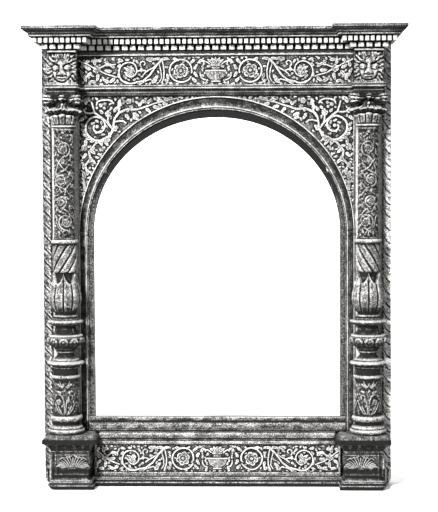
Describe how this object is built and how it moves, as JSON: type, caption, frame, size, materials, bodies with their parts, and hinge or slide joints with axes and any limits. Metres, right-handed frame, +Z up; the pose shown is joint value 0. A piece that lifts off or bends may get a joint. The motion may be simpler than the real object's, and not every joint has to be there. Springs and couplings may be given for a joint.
{
  "type": "tabernacle frame",
  "caption": "Carved wooden tabernacle frame with an arched opening between candelabrum columns, on plinths and under a dentil cornice.",
  "frame": {"origin": "centre of the bounding box at its underside, where the frame stands", "axes": "+Z up along the height, +X to the right across the front, +Y from the carved front to the flat back"},
  "size_m": [0.5616, 0.1, 0.6853],
  "materials": {
    "carved_wood": "aged carved wood, waxed, rubbed pale on the edges",
    "moulding_wood": "aged wood mouldings, rubbed pale",
    "board_wood": "plain dark back boards"
  },
  "bodies": {
    "root": {"stile_left": "board_wood", "stile_right": "board_wood", "rail_top": "board_wood", "rail_bottom": "board_wood", "strip_left": "carved_wood", "strip_right": "carved_wood", "spandrel_left": "carved_wood", "spandrel_right": "carved_wood", "archivolt": "moulding_wood", "jamb_left": "moulding_wood", "jamb_right": "moulding_wood", "sill_moulding": "moulding_wood", "predella_cornice": "carved_wood", "predella_panel": "carved_wood", "base_moulding": "moulding_wood", "plinth_left": "carved_wood", "plinth_right": "carved_wood", "column_left": "carved_wood", "column_right": "carved_wood", "capital_left": "carved_wood", "capital_right": "carved_wood", "architrave": "moulding_wood", "frieze_panel": "carved_wood", "mask_block_left": "carved_wood", "mask_block_right": "carved_wood", "dentil_lower": "moulding_wood", "dentil_upper": "moulding_wood", "cornice": "moulding_wood"}
  },
  "joints": []
}
